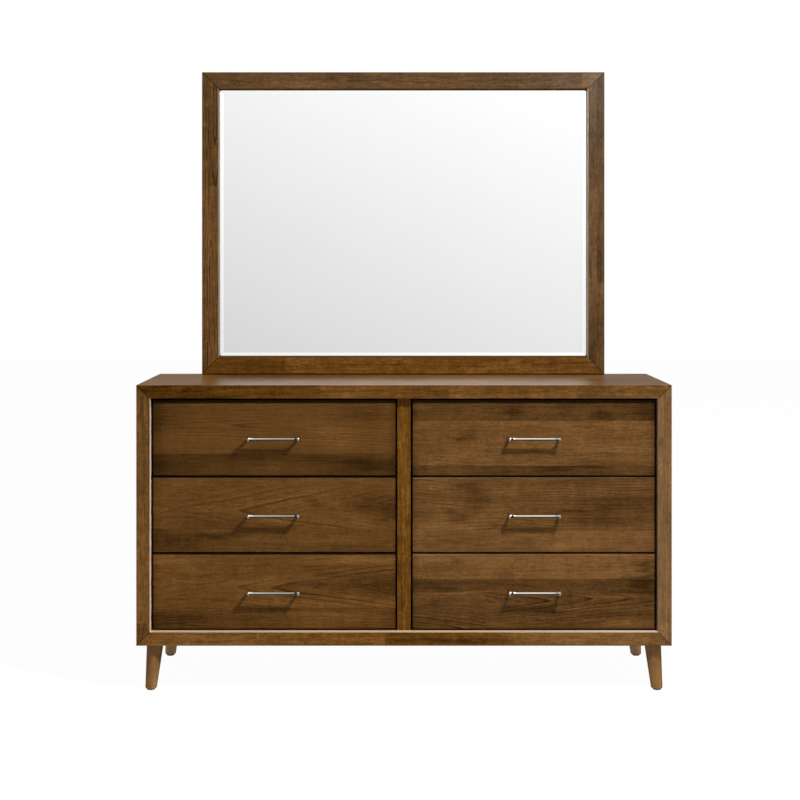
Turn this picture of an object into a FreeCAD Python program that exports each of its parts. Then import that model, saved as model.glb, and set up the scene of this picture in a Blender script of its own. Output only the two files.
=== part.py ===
import FreeCAD, Part
import os

# A six-drawer dresser with a framed mirror standing on it. Lengths are in millimetres.
# +X is to the viewer's right, +Y to the back, +Z up. The origin is on the floor, under the
# middle of the whole outline.

# Case: four mitred panels, a thin back and a centre partition behind a front stile
case_width = 1500.0
case_depth = 430.0
case_height = 730.0
panel_thickness = 37.5
panel_chamfer = 0.8
back_thickness = 5.0
back_rebate_width = 12.0
back_rebate_depth = 8.0
back_clearance = 0.5
stile_width = 38.0
stile_thickness = 19.0
partition_thickness = 18.0
rail_thickness = 18.0
rail_depth = 70.0
rail_clearance = 2.0
cleat_margin = 8.0

# Legs: tapered, round and splayed, each with a square tenon let into the bottom panel and a
# nylon glide under its foot
leg_height = 130.0
leg_top_radius = 23.75
leg_foot_radius = 16.0
leg_foot_chamfer = 3.0
leg_top_inset_x = 47.0
leg_top_inset_y = 42.0
leg_splay_x = 10.5
leg_splay_y = 10.5
glide_radius = 11.0
glide_thickness = 3.0
tenon_width_share = 0.5
tenon_height_share = 0.7
tenon_clearance = 0.2

# Drawer fronts
front_recess = 22.0
front_thickness = 19.0
front_chamfer = 1.2
front_side_gap = 5.0
front_top_gap = 8.0
front_bottom_gap = 5.0
front_row_gap = 5.0

# Drawer boxes: dovetailed in front, with the back housed in the sides
box_board = 12.0
box_lift = 24.0
box_top_drop = 36.0
box_rear_clearance = 21.0
box_bottom_thickness = 5.0
groove_lift = 10.0
groove_depth = 6.0
groove_play = 0.2
bottom_edge_clearance = 0.5
back_inset = 10.0
housing_depth = 5.0
dovetail_count = 4
tail_wide_share = 0.74
tail_narrow_share = 0.58

# Telescopic drawer slides: a cabinet member, a middle member and a drawer member, each a
# folded channel, nested with a running gap
slide_thickness = 12.7
slide_height = 45.0
slide_front_gap = 3.0
slide_rear_margin = 7.0
slide_wall = 1.2
slide_lip = 1.2
slide_race = 2.4
slide_gap = 0.5
slide_mouth = 2.7

# Pulls: a round bar that flares to a collar at both ends, on two posts
pull_length = 150.0
pull_bar_radius = 4.4
pull_end_radius = 6.4
pull_collar_length = 10.0
pull_flare_length = 8.0
pull_standoff = 28.0
pull_post_radius = 4.2

# Mirror: four mitred rails, a bevelled glass and a backing board in their rebate. Its supports
# hold it a little above the case
mirror_side_inset = 134.0
mirror_height = 923.0
mirror_foot_gap = 3.0
mirror_face = 49.0
mirror_thickness = 40.0
mirror_chamfer = 0.8
mirror_rebate_width = 8.0
mirror_glass_setback = 30.0
glass_thickness = 4.0
glass_edge_thickness = 2.4
glass_bevel_width = 21.0
glass_edge_clearance = 1.0
backing_thickness = 4.0

clip_width = 20.0
clip_thickness = 1.2
clip_foot = 14.0
clip_hold = 12.0
clip_spread_share = 0.25
clip_height_share = 0.5

# Mirror supports: two posts behind the case and the mirror
support_width = 45.0
support_thickness = 18.0
support_below = 220.0
support_above = 600.0
support_chamfer = 2.0

# Cuts run past the faces they open by this much
overrun = 5.0

# Places worked out from the sizes above
front_reach = pull_standoff + pull_end_radius - front_recess
rear_reach = support_thickness
case_front = (front_reach - rear_reach - case_depth) / 2
case_back = case_front + case_depth
case_bottom = leg_height
case_top = case_bottom + case_height
inner_half = case_width / 2 - panel_thickness
inner_bottom = case_bottom + panel_thickness
inner_top = case_top - panel_thickness
back_face = case_back - back_rebate_depth
front_face = case_front + front_recess
front_rear = front_face + front_thickness
stile_rear = front_face + stile_thickness

bay_width = inner_half - stile_width / 2
bay_centre = stile_width / 2 + bay_width / 2
front_width = bay_width - 2 * front_side_gap
row_names = ("bottom", "middle", "top")
column_signs = {"left": -1, "right": 1}
row_gaps = front_row_gap * (len(row_names) - 1)
fronts_height = inner_top - inner_bottom - front_top_gap - front_bottom_gap - row_gaps
front_height = fronts_height / len(row_names)

box_half = bay_width / 2 - slide_thickness
box_height = front_height - box_lift - box_top_drop
box_rear = back_face - box_rear_clearance
slide_front = front_rear + slide_front_gap
slide_length = box_rear - slide_rear_margin - slide_front
slide_lift = box_lift + box_height / 2
cleat_height = slide_height + 2 * cleat_margin

mirror_width = case_width - 2 * mirror_side_inset
mirror_bottom = case_top + mirror_foot_gap
mirror_top = mirror_bottom + mirror_height
mirror_front = case_back - mirror_thickness
glass_front = mirror_front + mirror_glass_setback
mirror_rebate_depth = mirror_thickness - mirror_glass_setback

Vector = FreeCAD.Vector
x_axis = Vector(1, 0, 0)
y_axis = Vector(0, 1, 0)
z_axis = Vector(0, 0, 1)


def block(x_low, x_high, y_low, y_high, z_low, z_high):
    size = (x_high - x_low, y_high - y_low, z_high - z_low)
    return Part.makeBox(*size, Vector(x_low, y_low, z_low))


def prism(points, length_vector):
    """A closed outline of points, extruded."""
    outline = Part.makePolygon([*points, points[0]])
    return Part.Face(outline).extrude(length_vector)


def chamfer_face(solid, y_face, size):
    """Breaks every edge that lies in the plane at y_face."""
    edges = [e for e in solid.Edges if abs(e.BoundBox.YMin - y_face) + e.BoundBox.YLength < size]
    return solid.makeChamfer(size, edges)


def joined(solid, others):
    return solid.fuse(others).removeSplitter()


# Mitred frames
def frame_member(length, face, depth, rebate_width, rebate_depth, chamfer):
    """One upright of a mitred frame: its outer edge is at x=0, its front at y=0, its foot at z=0."""
    section = [
        Vector(0, chamfer, 0),
        Vector(chamfer, 0, 0),
        Vector(face - chamfer, 0, 0),
        Vector(face, chamfer, 0),
        Vector(face, depth - rebate_depth, 0),
        Vector(face - rebate_width, depth - rebate_depth, 0),
        Vector(face - rebate_width, depth, 0),
        Vector(0, depth, 0),
    ]
    bar = prism(section, Vector(0, 0, length))
    far = face + overrun
    for end, way in ((0, 1), (length, -1)):
        wedge = [
            Vector(-overrun, -overrun, end - way * overrun),
            Vector(far, -overrun, end + way * far),
            Vector(far, -overrun, end - way * overrun),
        ]
        bar = bar.cut(prism(wedge, Vector(0, depth + 2 * overrun, 0)))
    return bar


def mitred_frame(width, height, bottom, front, face, depth, rebate_width, rebate_depth, chamfer):
    """The left, top, right and bottom members of a frame, going round from its lower left corner."""
    half = width / 2
    top = bottom + height
    corners = {
        "left": (-half, bottom, height),
        "top": (-half, top, width),
        "right": (half, top, height),
        "bottom": (half, bottom, width),
    }
    members = {}
    for quarter, (name, (x, z, length)) in enumerate(corners.items()):
        member = frame_member(length, face, depth, rebate_width, rebate_depth, chamfer)
        member.rotate(Vector(0, 0, 0), y_axis, 90 * quarter)
        member.translate(Vector(x, front, z))
        members[name] = member
    return members


# Legs
def leg_axis(sign_x, sign_y):
    """The centres of a leg's foot and top."""
    y_middle = (case_front + case_back) / 2
    half_x = case_width / 2 - leg_top_inset_x
    half_y = case_depth / 2 - leg_top_inset_y
    top = Vector(sign_x * half_x, y_middle + sign_y * half_y, case_bottom)
    splayed_x = sign_x * (half_x + leg_splay_x)
    splayed_y = y_middle + sign_y * (half_y + leg_splay_y)
    foot = Vector(splayed_x, splayed_y, glide_thickness)
    return foot, top


def leg(foot, top):
    """A splayed taper through level circles: the foot's broken edge, the foot and the top."""
    rise = leg_foot_chamfer / (top - foot).z
    ankle = foot + (top - foot) * rise
    ankle_radius = leg_foot_radius + (leg_top_radius - leg_foot_radius) * rise
    circles = [
        Part.makeCircle(leg_foot_radius - leg_foot_chamfer, foot, z_axis),
        Part.makeCircle(ankle_radius, ankle, z_axis),
        Part.makeCircle(leg_top_radius, top, z_axis),
    ]
    return Part.makeLoft([Part.Wire(circle) for circle in circles], True, True)


def tenon(top, clearance):
    """The square tenon on a leg's top, or with a clearance its mortise in the panel."""
    half = leg_top_radius * tenon_width_share + clearance
    z_high = case_bottom + panel_thickness * tenon_height_share + clearance
    return block(top.x - half, top.x + half, top.y - half, top.y + half, case_bottom, z_high)


def glide(foot):
    return Part.makeCylinder(glide_radius, glide_thickness, Vector(foot.x, foot.y, 0), z_axis)


# Drawer slides, drawn as a channel's section and run along the drawer's way
def slide_channel(section, wall_x, sign, z_middle):
    """A section of (distance from the case's wall, height) points; sign is the way into the bay."""
    upper = [Vector(wall_x + sign * u, slide_front, z_middle + z) for u, z in section]
    lower = [Vector(wall_x + sign * u, slide_front, z_middle - z) for u, z in reversed(section)]
    return prism(upper + lower, Vector(0, slide_length, 0))


def cabinet_member(wall_x, sign, z_middle):
    outer = slide_height / 2
    inner = outer - slide_wall
    mouth = slide_thickness - slide_mouth
    lip = inner - slide_lip
    section = [
        (slide_wall, inner),
        (mouth - slide_wall, inner),
        (mouth - slide_wall, lip),
        (mouth, lip),
        (mouth, outer),
        (0, outer),
    ]
    return slide_channel(section, wall_x, sign, z_middle)


def middle_member(wall_x, sign, z_middle):
    outer = slide_height / 2 - slide_wall - slide_gap
    inner = outer - slide_race
    web = slide_wall + slide_gap
    mouth = slide_thickness - slide_mouth - slide_wall - slide_gap
    lip = inner - slide_lip
    section = [
        (web + slide_wall, inner),
        (mouth - slide_wall, inner),
        (mouth - slide_wall, lip),
        (mouth, lip),
        (mouth, outer),
        (web, outer),
    ]
    return slide_channel(section, wall_x, sign, z_middle)


def drawer_member(wall_x, sign, z_middle):
    hook = slide_height / 2 - slide_wall - slide_race - 2 * slide_gap
    outer = hook - slide_lip
    inner = outer - slide_wall
    start = 2 * (slide_wall + slide_gap)
    section = [
        (slide_thickness - slide_wall, inner),
        (start, inner),
        (start, hook),
        (start + slide_wall, hook),
        (start + slide_wall, outer),
        (slide_thickness, outer),
    ]
    return slide_channel(section, wall_x, sign, z_middle)


# Drawers
def front_board(x_middle, z_low):
    half = front_width / 2
    board = block(
        x_middle - half, x_middle + half, front_face, front_rear, z_low, z_low + front_height
    )
    return chamfer_face(board, front_face, front_chamfer)


def dovetails(x_low, x_high, z_low):
    """The tails of one front corner: wide at the side's end, narrow one board further back."""
    pitch = box_height / dovetail_count
    wide = pitch * tail_wide_share / 2
    narrow = pitch * tail_narrow_share / 2
    tails = []
    for number in range(dovetail_count):
        middle = z_low + pitch * (number + 0.5)
        points = [
            Vector(x_low, front_rear, middle - wide),
            Vector(x_low, front_rear, middle + wide),
            Vector(x_low, front_rear + box_board, middle + narrow),
            Vector(x_low, front_rear + box_board, middle - narrow),
        ]
        tails.append(prism(points, Vector(x_high - x_low, 0, 0)))
    return tails


def drawer_bottom(x_middle, z_low, room):
    """The bottom panel, or with some room the groove that it lies in."""
    inset = box_board - groove_depth + bottom_edge_clearance - room
    half = box_half - inset
    floor = z_low + groove_lift
    return block(
        x_middle - half,
        x_middle + half,
        front_rear + inset,
        box_rear - back_inset - inset,
        floor,
        floor + box_bottom_thickness + min(room, groove_play),
    )


def drawer_box(x_middle, z_low):
    """Two sides, an inner front and a back, with a groove all round for the bottom."""
    z_high = z_low + box_height
    x_left = x_middle - box_half
    x_right = x_middle + box_half - box_board
    sides = [block(x, x + box_board, front_rear, box_rear, z_low, z_high) for x in (x_left, x_right)]
    inner_front = block(
        x_left + box_board, x_right, front_rear, front_rear + box_board, z_low, z_high
    )
    back_rear = box_rear - back_inset
    back = block(
        x_left + box_board - housing_depth,
        x_right + housing_depth,
        back_rear - box_board,
        back_rear,
        z_low,
        z_high,
    )
    for index, x in enumerate((x_left, x_right)):
        corner = block(x, x + box_board, front_rear, front_rear + box_board, z_low, z_high)
        pins = corner.cut(dovetails(x, x + box_board, z_low))
        sides[index] = sides[index].cut([pins, back])
        inner_front = joined(inner_front, pins.Solids)
    groove = drawer_bottom(x_middle, z_low, bottom_edge_clearance)
    return [board.cut(groove) for board in [*sides, inner_front, back]]


# Pulls
def turned_bar():
    """A pull's bar, turned about X with its middle at x=0: straight, then flared to a collar."""
    end = pull_length / 2
    neck = end - pull_collar_length
    half = [
        (end, 0),
        (end, pull_end_radius),
        (neck, pull_end_radius),
        (neck - pull_flare_length, pull_bar_radius),
    ]
    profile = [Vector(x, r, 0) for x, r in half]
    profile += [Vector(-x, r, 0) for x, r in reversed(half)]
    outline = Part.makePolygon([*profile, profile[0]])
    return Part.Face(outline).revolve(Vector(0, 0, 0), x_axis, 360)


def pull(x_middle, z_middle):
    bar = turned_bar()
    bar.translate(Vector(x_middle, front_face - pull_standoff, z_middle))
    posts = []
    for sign in (-1, 1):
        post_x = x_middle + sign * (pull_length - pull_collar_length) / 2
        base = Vector(post_x, front_face, z_middle)
        posts.append(Part.makeCylinder(pull_post_radius, pull_standoff, base, -y_axis))
    return joined(bar, posts)


# Mirror glass with a bevel along its front edge
def bevelled_glass():
    half = mirror_width / 2 - mirror_face + mirror_rebate_width - glass_edge_clearance
    margin = mirror_face - mirror_rebate_width + glass_edge_clearance
    z_low = mirror_bottom + margin
    z_high = mirror_top - margin
    bevel_drop = glass_thickness - glass_edge_thickness

    def outline(inset, y):
        corners = [
            Vector(-half + inset, y, z_low + inset),
            Vector(half - inset, y, z_low + inset),
            Vector(half - inset, y, z_high - inset),
            Vector(-half + inset, y, z_high - inset),
        ]
        return Part.makePolygon([*corners, corners[0]])

    bevel_rear = glass_front + bevel_drop
    field = outline(glass_bevel_width, glass_front)
    plate = block(-half, half, bevel_rear, glass_front + glass_thickness, z_low, z_high)
    bevel = Part.makeLoft([outline(0, bevel_rear), field], True, True)
    return joined(plate, [bevel])


def mirror_backing():
    half = mirror_width / 2 - mirror_face + mirror_rebate_width - glass_edge_clearance
    margin = mirror_face - mirror_rebate_width + glass_edge_clearance
    z_low = mirror_bottom + margin
    z_high = mirror_top - margin
    rear = glass_front + glass_thickness
    return block(-half, half, rear, rear + backing_thickness, z_low, z_high)


def backing_clips():
    """Bent strips that lie on the frame's rear face and step down onto the backing board."""
    rear = glass_front + glass_thickness + backing_thickness
    edge = mirror_face - mirror_rebate_width
    step = [
        (edge - clip_foot, case_back),
        (edge - clip_foot, case_back + clip_thickness),
        (edge + clip_thickness, case_back + clip_thickness),
        (edge + clip_thickness, rear + clip_thickness),
        (edge + clip_hold, rear + clip_thickness),
        (edge + clip_hold, rear),
        (edge, rear),
        (edge, case_back),
    ]
    clips = []
    support_top = case_top + support_above
    side_z = support_top + clip_height_share * (mirror_top - support_top)
    mirror_middle = (mirror_bottom + mirror_top) / 2
    for sign in (-1, 1):
        upright = [Vector(sign * (mirror_width / 2 - u), y, side_z) for u, y in step]
        clips.append(prism(upright, Vector(0, 0, clip_width)))
        x = sign * clip_spread_share * mirror_width - clip_width / 2
        for way in (-1, 1):
            level = [Vector(x, y, mirror_middle + way * (mirror_height / 2 - u)) for u, y in step]
            clips.append(prism(level, Vector(clip_width, 0, 0)))
    return clips


# Posts behind the case and the mirror
def support(sign):
    middle = sign * (mirror_width - mirror_face) / 2
    half = support_width / 2
    rear = case_back + support_thickness
    post = block(
        middle - half, middle + half, case_back, rear, case_top - support_below, case_top + support_above
    )
    return chamfer_face(post, rear, support_chamfer)


nodes = {}

# The case
case = mitred_frame(
    case_width,
    case_height,
    case_bottom,
    case_front,
    panel_thickness,
    case_depth,
    back_rebate_width,
    back_rebate_depth,
    panel_chamfer,
)
back_half = inner_half + back_rebate_width - back_clearance
back_margin = back_rebate_width - back_clearance
nodes["back_panel"] = [
    block(
        -back_half,
        back_half,
        back_face,
        back_face + back_thickness,
        inner_bottom - back_margin,
        inner_top + back_margin,
    )
]
stile = block(
    -stile_width / 2, stile_width / 2, front_face, stile_rear, inner_bottom, inner_top
)
nodes["centre_stile"] = [chamfer_face(stile, front_face, panel_chamfer)]
nodes["centre_partition"] = [
    block(
        -partition_thickness / 2,
        partition_thickness / 2,
        stile_rear,
        back_face,
        inner_bottom,
        inner_top,
    )
]

# Legs and their glides
nodes["foot_glides"] = []
for pair_name, sign_y in (("front_legs", -1), ("rear_legs", 1)):
    nodes[pair_name] = []
    for sign_x in (-1, 1):
        foot, top = leg_axis(sign_x, sign_y)
        nodes[pair_name].append(joined(leg(foot, top), [tenon(top, 0)]))
        case["bottom"] = case["bottom"].cut(tenon(top, tenon_clearance))
        nodes["foot_glides"].append(glide(foot))

# Drawers, their slides, and the rails and cleats behind them
nodes["cabinet_slides"] = []
nodes["slide_cleats"] = []
nodes["drawer_rails"] = []
for column, column_sign in column_signs.items():
    x_middle = column_sign * bay_centre
    walls = {x_middle - bay_width / 2: 1, x_middle + bay_width / 2: -1}
    for row, row_name in enumerate(row_names):
        front_low = inner_bottom + front_bottom_gap + row * (front_height + front_row_gap)
        box_low = front_low + box_lift
        slide_z = front_low + slide_lift
        place = column + "_" + row_name
        nodes["drawer_front_" + place] = [front_board(x_middle, front_low)]
        nodes["drawer_box_" + place] = drawer_box(x_middle, box_low)
        nodes["drawer_bottom_" + place] = [drawer_bottom(x_middle, box_low, 0)]
        nodes["pull_" + place] = [pull(x_middle, front_low + front_height / 2)]
        nodes["drawer_slides_" + place] = [drawer_member(x, s, slide_z) for x, s in walls.items()]
        nodes["middle_slides_" + place] = [middle_member(x, s, slide_z) for x, s in walls.items()]
        nodes["cabinet_slides"] += [cabinet_member(x, s, slide_z) for x, s in walls.items()]
        cleat_x = sorted(
            (column_sign * partition_thickness / 2, column_sign * stile_width / 2)
        )
        nodes["slide_cleats"].append(
            block(
                *cleat_x, stile_rear, back_face, slide_z - cleat_height / 2, slide_z + cleat_height / 2
            )
        )
        if row > 0:
            rail_x = sorted((column_sign * partition_thickness / 2, column_sign * inner_half))
            rail_z = front_low - front_row_gap / 2
            rail_y = front_rear + rail_clearance
            nodes["drawer_rails"].append(
                block(
                    *rail_x,
                    rail_y,
                    rail_y + rail_depth,
                    rail_z - rail_thickness / 2,
                    rail_z + rail_thickness / 2,
                )
            )

# The mirror and its supports
mirror = mitred_frame(
    mirror_width,
    mirror_height,
    mirror_bottom,
    mirror_front,
    mirror_face,
    mirror_thickness,
    mirror_rebate_width,
    mirror_rebate_depth,
    mirror_chamfer,
)
nodes["mirror_glass"] = [bevelled_glass()]
nodes["mirror_backing"] = [mirror_backing()]
nodes["mirror_clips"] = backing_clips()
nodes["mirror_supports"] = [support(-1), support(1)]

nodes["side_panel_left"] = [case["left"]]
nodes["side_panel_right"] = [case["right"]]
nodes["top_panel"] = [case["top"]]
nodes["bottom_panel"] = [case["bottom"]]
nodes["mirror_stile_left"] = [mirror["left"]]
nodes["mirror_stile_right"] = [mirror["right"]]
nodes["mirror_rail_top"] = [mirror["top"]]
nodes["mirror_rail_bottom"] = [mirror["bottom"]]

os.makedirs("parts", exist_ok=True)
for name, pieces in nodes.items():
    solids = [solid for piece in pieces for solid in piece.Solids]
    shape = solids[0] if len(solids) == 1 else Part.makeCompound(solids)
    shape.exportStep("parts/" + name + ".step")
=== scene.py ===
import math
from itertools import product

import bmesh
import bpy
from mathutils import Matrix, Vector


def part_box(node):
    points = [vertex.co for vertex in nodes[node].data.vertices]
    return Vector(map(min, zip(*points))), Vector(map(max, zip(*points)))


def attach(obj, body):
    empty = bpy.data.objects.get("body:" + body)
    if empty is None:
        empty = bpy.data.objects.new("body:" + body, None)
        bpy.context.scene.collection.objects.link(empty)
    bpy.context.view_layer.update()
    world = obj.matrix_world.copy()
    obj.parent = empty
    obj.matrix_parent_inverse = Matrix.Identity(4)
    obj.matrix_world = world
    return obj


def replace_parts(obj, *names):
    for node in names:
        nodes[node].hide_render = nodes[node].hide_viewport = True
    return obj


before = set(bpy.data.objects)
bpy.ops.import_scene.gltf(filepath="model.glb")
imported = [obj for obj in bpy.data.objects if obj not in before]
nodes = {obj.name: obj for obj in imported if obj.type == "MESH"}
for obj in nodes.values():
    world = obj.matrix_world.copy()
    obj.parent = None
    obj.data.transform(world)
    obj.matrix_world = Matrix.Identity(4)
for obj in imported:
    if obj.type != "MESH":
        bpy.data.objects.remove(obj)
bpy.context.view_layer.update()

# Rows and columns of drawers
COLUMNS = ("left", "right")
ROWS = ("top", "middle", "bottom")
PLACES = [column + "_" + row for column in COLUMNS for row in ROWS]

# The case and the mirror, read from the frame
top_low, top_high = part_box("top_panel")
base_low, base_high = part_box("bottom_panel")
CASE_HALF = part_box("side_panel_right")[1].x
CASE_FRONT = top_low.y
CASE_BACK = top_high.y
CASE_TOP = top_high.z
CASE_BOTTOM = base_low.z
PANEL = base_high.z - base_low.z
STILE_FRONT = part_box("centre_stile")[0].y
mirror_low, mirror_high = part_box("mirror_rail_top")
mirror_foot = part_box("mirror_rail_bottom")[0].z
MIRROR_HALF = mirror_high.x
MIRROR_TOP = mirror_high.z
MIRROR_FACE = mirror_high.z - mirror_low.z

# Light and camera
CAMERA_PLACE = (-0.0258, -4.4048, 1.205)
CAMERA_LENS = 67.28
CAMERA_SHIFT = (0.0065, -0.1725)
SENSOR_WIDTH = 36.0
AMBIENT = 0.17
FLOOR_REACH = 14.0

# Each lamp's place, what it points at, its width and height, and its power
KEY = ((0.86, -1.15, 1.98), (-0.1, -0.2, 0.55), (0.16, 0.16), 12.5)
OVERHEAD = ((-0.2, -2.7, 3.2), (0.0, 0.0, 0.8), (2.6, 1.4), 7.5)
FILL = ((-1.0, -4.2, 0.5), (0.0, 0.0, 0.4), (2.0, 0.9), 9.0)
LOW_FILL = ((0.0, -2.2, 0.25), (0.0, 0.2, 0.05), (2.4, 0.2), 14.0)
REAR_LAMPS = {
    "rear": ((1.2, 4.3, 2.2), (0, 0, 0.8), (2.2, 2.2), 95.0),
    "left_rear": ((-4.2, 1.3, 1.5), (0, 0, 0.8), (2.2, 2.2), 75.0),
    "right_rear": ((4.2, 1.3, 1.5), (0, 0, 0.8), (2.2, 2.2), 75.0),
}


def srgb(red, green, blue, alpha=1.0):
    """A colour written as the screen shows it, 0 to 255, as the linear values that shaders take."""
    def linear(channel):
        share = channel / 255
        return share / 12.92 if share <= 0.04045 else ((share + 0.055) / 1.055) ** 2.4
    return (linear(red), linear(green), linear(blue), alpha)


# A small vocabulary for building shaders
class Builder:
    def __init__(self, tree):
        self.tree = tree

    def feed(self, socket, value):
        if isinstance(value, bpy.types.NodeSocket):
            self.tree.links.new(value, socket)
        else:
            socket.default_value = value

    def node(self, kind, inputs=None, **settings):
        made = self.tree.nodes.new("ShaderNode" + kind)
        for key, value in settings.items():
            setattr(made, key, value)
        for socket, value in (inputs or {}).items():
            self.feed(made.inputs[socket], value)
        return made

    def math(self, operation, *values):
        return self.node("Math", dict(enumerate(values)), operation=operation).outputs[0]

    def total(self, *values):
        result = values[0]
        for value in values[1:]:
            result = self.math("ADD", result, value)
        return result

    def less(self, value, other):
        return self.math("SUBTRACT", value, other)

    def times(self, value, other):
        return self.math("MULTIPLY", value, other)

    def absolute(self, value):
        return self.math("ABSOLUTE", value)

    def scaled(self, value, factor, offset=0.0):
        return self.math("MULTIPLY_ADD", value, factor, offset)

    def layers(self, *pairs):
        """The sum of values, each by its strength."""
        return self.total(*[self.scaled(value, strength) for value, strength in pairs])

    def blend(self, share, low, high):
        """Low where share is 0, high where it is 1."""
        return self.total(self.times(low, self.scaled(share, -1.0, 1.0)), self.times(high, share))

    def point(self):
        """The place on the object, in metres."""
        return self.node("TexCoord").outputs["Object"]

    def vector(self, operation, *values):
        made = self.node("VectorMath", dict(enumerate(values)), operation=operation)
        return made.outputs["Value" if operation == "LENGTH" else "Vector"]

    def join(self, x, y, z):
        return self.node("CombineXYZ", {0: x, 1: y, 2: z}).outputs[0]

    def split(self, vector):
        return self.node("SeparateXYZ", {0: vector}).outputs

    def smooth(self, value, low, high, at_low=0.0, at_high=1.0):
        ranges = {0: value, 1: low, 2: high, 3: at_low, 4: at_high}
        return self.node("MapRange", ranges, interpolation_type="SMOOTHSTEP").outputs[0]

    def noise(self, place, stretch, detail=2.0, roughness=0.5):
        place = self.vector("MULTIPLY", place, stretch)
        given = {"Vector": place, "Scale": 1.0, "Detail": detail, "Roughness": roughness}
        return self.scaled(self.node("TexNoise", given).outputs[0], 2.0, -1.0)

    def ramp(self, value, *colours):
        """Evenly spaced colours, from the lowest value to the highest."""
        made = self.node("ValToRGB", {0: value})
        elements = made.color_ramp.elements
        for index, colour in enumerate(colours):
            position = index / (len(colours) - 1)
            element = elements[index] if index < 2 else elements.new(position)
            element.position = position
            element.color = srgb(*colour)
        return made.outputs[0]

    def mix(self, factor, low, high):
        """A colour between two."""
        return self.node("Mix", {"Factor": factor, 6: low, 7: high}, data_type="RGBA").outputs[2]

    def choose(self, factor, low, high):
        """One of two vectors."""
        return self.node("Mix", {"Factor": factor, 4: low, 5: high}, data_type="VECTOR").outputs[1]


def new_material(name):
    material = bpy.data.materials.new(name)
    material.use_nodes = True
    material.node_tree.nodes.clear()
    return material, Builder(material.node_tree)


def surface(build, colour, roughness, bump_height=None, bump=None, **constants):
    """The material's shader. What is the same all over is set on the shader itself."""
    shader = build.node("BsdfPrincipled", {"Base Color": colour, "Roughness": roughness})
    for key, value in constants.items():
        shader.inputs[key.replace("_", " ")].default_value = value
    if bump_height is not None:
        strength, distance = bump
        relief = {"Strength": strength, "Distance": distance, "Height": bump_height}
        build.feed(shader.inputs["Normal"], build.node("Bump", relief).outputs[0])
    build.node("OutputMaterial", {"Surface": shader.outputs[0]})
    return shader


# Timber: one group draws the figure of a plain-sawn board
AMBER = ((22, 12, 1), (57, 33, 2), (97, 61, 16), (131, 91, 42), (164, 128, 80))
FADED = ((26, 18, 9), (60, 43, 22), (98, 71, 44), (131, 98, 62), (168, 138, 100))
UMBER = ((12, 7, 3), (40, 25, 12), (70, 47, 27))
CHESTNUT = ((24, 15, 5), (97, 66, 30), (166, 133, 90))
MAHOGANY = ((14, 4, 1), (44, 18, 6), (74, 36, 16))
BIRCH = ((150, 118, 78), (205, 176, 134), (232, 211, 176))
PINE = ((140, 100, 58), (196, 158, 108), (224, 194, 148))


def walnut_colour(build, tone, faded):
    """The stained colour, amber where faded is 0 and greyer where it is 1."""
    return build.mix(faded, build.ramp(tone, *AMBER), build.ramp(tone, *FADED))


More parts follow.
